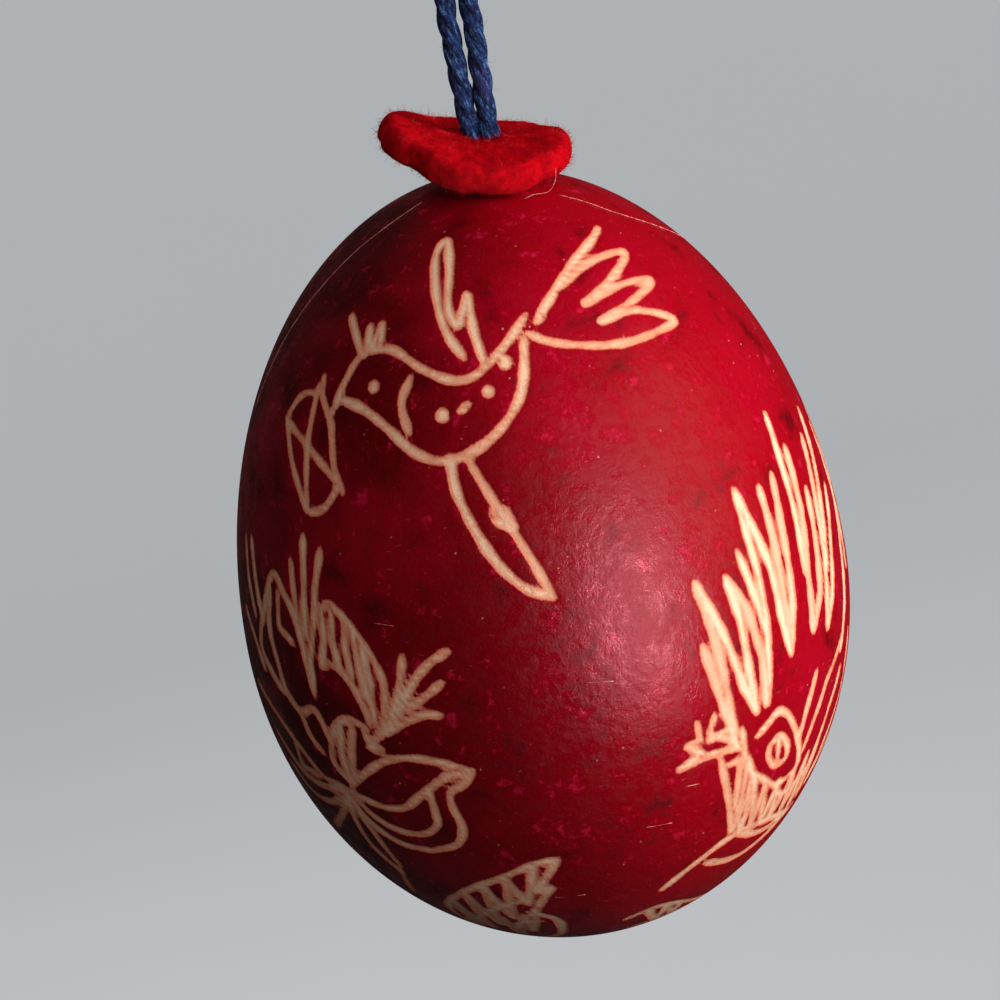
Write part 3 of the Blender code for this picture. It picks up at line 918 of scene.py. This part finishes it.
def shell_material():
    """Dyed shell: mottled crimson, painted darker on its left as painted shade and with pink patches that are
    partly painted highlight, over a pale shell that shows where the dye was scratched off.
    """
    shade = Shade("scratched_shell", 0.4, Specular_IOR_Level=0.26)
    where = shade.place()
    line = shade.number("line")
    left_in = shade.number("left_in")
    turn = shade.number("turn")
    height = shade.number("height")

    ragged = shade.noise(4.0, where, detail=4, roughness=0.65)
    pores = shade.noise(8.0, where, detail=3, roughness=0.7)
    edge = shade.math("ADD", line, shade.math("MULTIPLY", shade.math("SUBTRACT", ragged, 0.5), 0.20))
    grazed = shade.spread(edge, 0.06, -0.05)
    bare = shade.spread(edge, 0.0, -0.15)

    cloud = shade.noise(0.075, where, detail=3, roughness=0.6)
    blotch = shade.noise(0.30, where, detail=5, roughness=0.65)
    grain = shade.noise(2.4, where, detail=4, roughness=0.65)
    # Painted shade: the dye is painted darker on the left, away from the lamps, than on the lit right, and
    # the two tones meet again at the back, where turn starts over.
    side = shade.math("MULTIPLY", shade.spread(turn, -24.0, 18.0), shade.spread(turn, 68.0, 44.0))
    dye = shade.mix(side, rgb(0.075, 0.0002, 0.0020), rgb(0.310, 0.0004, 0.0070))
    dye = shade.mix(shade.spread(cloud, 0.40, 0.66, 0.0, 0.6), dye, rgb(0.380, 0.0008, 0.0160))
    dye = shade.mix(shade.spread(blotch, 0.46, 0.28, 0.0, 0.70), dye, rgb(0.045, 0.0003, 0.0022))
    dye = shade.mix(shade.spread(grain, 0.55, 0.85, 0.0, 0.35), dye, rgb(0.480, 0.004, 0.025))
    # Lighter, pinker patches of rubbed dye that are also painted highlight, standing in for the highlight's
    # pink patches; the same tone makes these patches glossier.
    rub_and_highlight_tone = shade.noise(0.60, where, detail=6, roughness=0.75)
    rub_and_painted_highlight = shade.spread(rub_and_highlight_tone, 0.57, 0.68, 0.0, 0.60)
    dye = shade.mix(rub_and_painted_highlight, dye, rgb(0.62, 0.012, 0.070))

    streak_across = shade.math("MULTIPLY", turn, 1.1)
    streak_up = shade.math("MULTIPLY", height, 5.5)
    streak_place = shade.add("CombineXYZ", {0: streak_across, 1: streak_up})
    streak = shade.noise(1.0, streak_place, detail=2, roughness=0.5)
    dye = shade.mix(shade.spread(streak, 0.70, 0.74, 0.0, 0.35), dye, rgb(0.62, 0.10, 0.10))
    near_speck = shade.add("TexVoronoi", {"Vector": where, "Scale": 0.95}, output="Distance")
    speck_tone = shade.add("TexVoronoi", {"Vector": where, "Scale": 0.95}, output="Color")
    speck_core = shade.spread(near_speck, 0.085, 0.055)
    speck = shade.math("MULTIPLY", speck_core, shade.spread(speck_tone, 0.50, 0.80))
    dye = shade.mix(shade.math("MULTIPLY", speck, 0.6), dye, rgb(0.80, 0.36, 0.32))

    stain = shade.math("ADD", shade.math("MULTIPLY", left_in, 0.60), shade.math("MULTIPLY", ragged, 0.4))
    deep = shade.mix(shade.spread(stain, 0.35, 0.85), rgb(0.93, 0.66, 0.48), rgb(0.88, 0.46, 0.32))
    cream = shade.mix(shade.spread(edge, -0.12, -0.34), rgb(0.78, 0.33, 0.20), deep)
    cream = shade.mix(shade.spread(pores, 0.54, 0.70, 0.0, 0.5), cream, rgb(0.55, 0.24, 0.13))
    colour = shade.mix(grazed, dye, rgb(0.66, 0.13, 0.085))
    colour = shade.mix(bare, colour, cream)

    peel = shade.noise(1.25, where, detail=4, roughness=0.6)
    rough = shade.spread(rub_and_highlight_tone, 0.42, 0.60, 0.40, 0.17)
    rough = shade.math("ADD", rough, shade.math("MULTIPLY", grazed, 0.35))
    relief = shade.math("ADD", shade.math("MULTIPLY", peel, 0.70), shade.math("MULTIPLY", pores, 0.22))
    normal = shade.bump(relief, 0.00020, 0.55)
    normal = shade.bump(shade.spread(edge, -0.12, 0.06), 0.00005, 0.6, normal)
    return shade.finish(colour, rough, normal)


def shell_ring(polar, inset, columns):
    """One ring of the shell. The upper rings are centred on the blow hole, the lower on the egg's axis."""
    start = math.asin(TOP_HOLE_RADIUS / EGG_RADIUS)
    shift = -EGG_AXIS_X * max(0.0, (HOLE_FADE - polar) / (HOLE_FADE - start))
    radius = EGG_RADIUS * math.sin(polar)
    upper = polar < math.pi / 2
    length = NARROW_END_LENGTH if upper else -BLUNT_END_LENGTH
    ring = []
    for n in range(columns):
        a = 2 * math.pi * n / columns
        x, y = shift + radius * math.cos(a), radius * math.sin(a)
        z = length * math.sqrt(max(0.0, 1 - (x * x + y * y) / EGG_RADIUS**2))
        normal = Vector((x / EGG_RADIUS**2, y / EGG_RADIUS**2, z / length**2)).normalized()
        ring.append(Vector((EGG_AXIS_X + x, y, EGG_WIDEST_Z + z)) - inset * normal)
    return ring


def make_egg(dyed):
    """The shell with its strokes pressed in, and the numbers that its material reads at every point."""
    start = math.asin(TOP_HOLE_RADIUS / EGG_RADIUS)
    end = math.pi - math.asin(BOTTOM_HOLE_RADIUS / EGG_RADIUS)
    tree_samples = drawn_samples()
    tree = KDTree(len(tree_samples))
    for k, (point, _, _) in enumerate(tree_samples):
        tree.insert(point, k)
    tree.balance()

    points, line, left_in, turns, heights = [], [], [], [], []
    centre = Vector((EGG_AXIS_X, 0, EGG_WIDEST_Z))
    for row in range(SHELL_ROWS):
        for point in shell_ring(start + (end - start) * row / (SHELL_ROWS - 1), 0.0, SHELL_COLUMNS):
            _, k, away = tree.find(point)
            gap = away / MM - tree_samples[k][1]
            dent = min(1.0, max(0.0, (0.10 - gap) / 0.30))
            dent = dent * dent * (3 - 2 * dent) * GROOVE_DEPTH
            points.append(point - dent * (point - centre).normalized())
            line.append(min(LINE_REACH_MM, gap))
            left_in.append(tree_samples[k][2])
            turn = math.atan2(point.x - EGG_AXIS_X, -point.y)
            turns.append(turn * EGG_RADIUS / MM)
            heights.append((point.z - EGG_BOTTOM_Z) / MM)
    for row in range(INNER_ROWS):
        polar = end + (start - end) * row / (INNER_ROWS - 1)
        points += shell_ring(polar, SHELL_WALL, SHELL_COLUMNS)
    spare = INNER_ROWS * SHELL_COLUMNS
    rows = SHELL_ROWS + INNER_ROWS
    faces = []
    for row in range(rows):
        here, below = row * SHELL_COLUMNS, (row + 1) % rows * SHELL_COLUMNS
        for n in range(SHELL_COLUMNS):
            m = (n + 1) % SHELL_COLUMNS
            faces.append((here + n, below + n, below + m, here + m))
    egg = add_mesh("egg_skin", points, faces, dyed)
    set_attribute(egg, "line", line + [LINE_REACH_MM] * spare)
    set_attribute(egg, "left_in", left_in + [0.0] * spare)
    set_attribute(egg, "turn", turns + [0.0] * spare)
    set_attribute(egg, "height", heights + [0.0] * spare)
    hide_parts("eggshell")
    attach(egg, "egg")


def make_hairlines():
    """Hair-thin scratches with a raised burr, half sunk in the shell."""
    parts = []
    for kind, stroke in HAIRLINES:
        flat = [Vector((a, h, 0)) for a, h in stroke]
        if kind == "curve":
            flat = smooth_curve(flat, 8)
        parts.append(thin_tube(evenly([on_egg(p.x, p.y) for p in flat], 0.00025), HAIRLINE_RADIUS))
    points, faces = join_parts(parts)
    worn = pale_material("scratch_burr", rgb(0.50, 0.10, 0.09), rgb(0.78, 0.42, 0.34), 0.7)
    scratches = add_mesh("shell_scratches", points, faces, worn)
    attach(scratches, "egg")


# ---------------------------------------------------------------- pieces inside the shell


def membrane_material():
    """Thin, dry and slightly wrinkled skin."""
    shade = Shade("membrane_skin", 0.6)
    where = shade.place()
    tone = shade.noise(0.4, where, detail=4)
    wrinkle = shade.noise(1.6, where, detail=4, roughness=0.7)
    colour = shade.mix(tone, rgb(0.78, 0.70, 0.60), rgb(0.86, 0.80, 0.72))
    return shade.finish(colour, shade.spread(tone, 0.3, 0.7, 0.5, 0.7), shade.bump(wrinkle, 0.0001, 0.6))


def wood_material():
    """Bare wood with its grain along the stick."""
    shade = Shade("bare_wood", 0.7)
    rings = shade.noise(3.0, shade.place((0.15, 1, 1)), detail=5, roughness=0.7)
    colour = shade.mix(shade.spread(rings, 0.3, 0.7), rgb(0.62, 0.44, 0.25), rgb(0.40, 0.25, 0.12))
    return shade.finish(colour, shade.spread(rings, 0.3, 0.7, 0.6, 0.8), shade.bump(rings, 0.0001, 0.6))


def dress_hidden_nodes():
    """The CAD membrane and toggle stay as they are, with real materials."""
    for node, material in (("shell_membrane", membrane_material()), ("toggle_stick", wood_material())):
        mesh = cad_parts[node].data
        mesh.materials.clear()
        mesh.materials.append(material)


make_camera()
make_stage()
make_lights()
cotton = cotton_material()
make_cord(cotton)
make_knot(cotton)
make_felt()
make_egg(shell_material())
make_hairlines()
dress_hidden_nodes()
